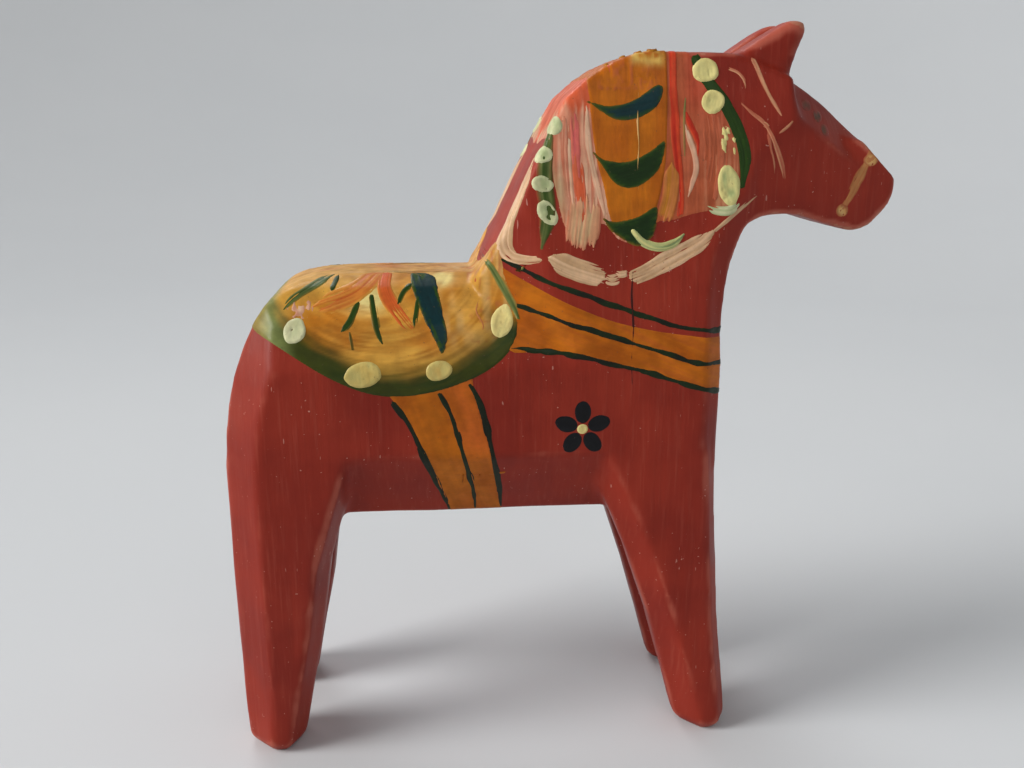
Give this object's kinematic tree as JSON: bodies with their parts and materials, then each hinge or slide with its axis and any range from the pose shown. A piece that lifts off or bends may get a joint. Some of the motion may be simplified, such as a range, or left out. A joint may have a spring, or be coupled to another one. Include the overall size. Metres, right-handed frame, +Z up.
{
  "type": "dala horse",
  "caption": "Small carved wooden horse standing on four straight legs, red with a painted saddle, girth, collar and mane in folk style; a shelf ornament or toy.",
  "frame": {"origin": "centre of the horse's footprint box, on the plane that the soles of its feet stand on", "axes": "+X towards the muzzle, +Y towards the horse's left side, +Z up"},
  "size_m": [0.092, 0.0308, 0.1],
  "materials": {
    "red_paint_on_pine": "brushed brick-red paint on whittled pine, thin clear varnish, semi-gloss",
    "yellow_paint": "ochre yellow brush paint under varnish",
    "orange_paint": "orange ochre brush paint under varnish",
    "green_paint": "leaf green brush paint under varnish",
    "dark_paint": "blue-black brush paint under varnish",
    "cream_paint": "thick cream brush paint under varnish",
    "pink_paint": "streaked pink and cream over red, brush paint under varnish",
    "sage_paint": "grey-green worn brush paint"
  },
  "bodies": {
    "root": {"carved_block": "red_paint_on_pine", "saddle_cloth": "yellow_paint", "collar_band": "yellow_paint", "collar_line_upper": "dark_paint", "collar_line_middle": "green_paint", "collar_line_lower": "dark_paint", "mane_field": "pink_paint", "mane_panel": "orange_paint", "noseband": "cream_paint", "saddle_dot_1_right": "cream_paint", "saddle_dot_1_left": "cream_paint", "saddle_dot_2_right": "cream_paint", "saddle_dot_2_left": "cream_paint", "saddle_dot_3_right": "cream_paint", "saddle_dot_3_left": "cream_paint", "saddle_dot_4_right": "cream_paint", "saddle_dot_4_left": "cream_paint", "saddle_leaf_right": "dark_paint", "saddle_leaf_left": "dark_paint", "girth_band_right": "yellow_paint", "girth_band_left": "yellow_paint", "girth_line_1_right": "dark_paint", "girth_line_1_left": "dark_paint", "girth_line_2_right": "dark_paint", "girth_line_2_left": "dark_paint", "girth_line_3_right": "dark_paint", "girth_line_3_left": "dark_paint", "mane_crescent_1_right": "dark_paint", "mane_crescent_1_left": "dark_paint", "mane_crescent_2_right": "green_paint", "mane_crescent_2_left": "green_paint", "mane_crescent_3_right": "green_paint", "mane_crescent_3_left": "green_paint", "mane_front_dot_1_right": "cream_paint", "mane_front_dot_1_left": "cream_paint", "mane_front_dot_2_right": "cream_paint", "mane_front_dot_2_left": "cream_paint", "mane_front_dot_3_right": "cream_paint", "mane_front_dot_3_left": "cream_paint", "mane_front_dot_4_right": "cream_paint", "mane_front_dot_4_left": "cream_paint", "mane_front_arc_right": "green_paint", "mane_front_arc_left": "green_paint", "mane_rear_dot_1_right": "cream_paint", "mane_rear_dot_1_left": "cream_paint", "mane_rear_dot_2_right": "cream_paint", "mane_rear_dot_2_left": "cream_paint", "mane_rear_dot_3_right": "cream_paint", "mane_rear_dot_3_left": "cream_paint", "mane_rear_dot_4_right": "cream_paint", "mane_rear_dot_4_left": "cream_paint", "mane_rear_stem_right": "green_paint", "mane_rear_stem_left": "green_paint", "garland_right": "cream_paint", "garland_left": "cream_paint", "bridle_right": "cream_paint", "bridle_left": "cream_paint", "eye_right": "sage_paint", "eye_left": "sage_paint", "flank_flower": "dark_paint"}
  },
  "joints": []
}
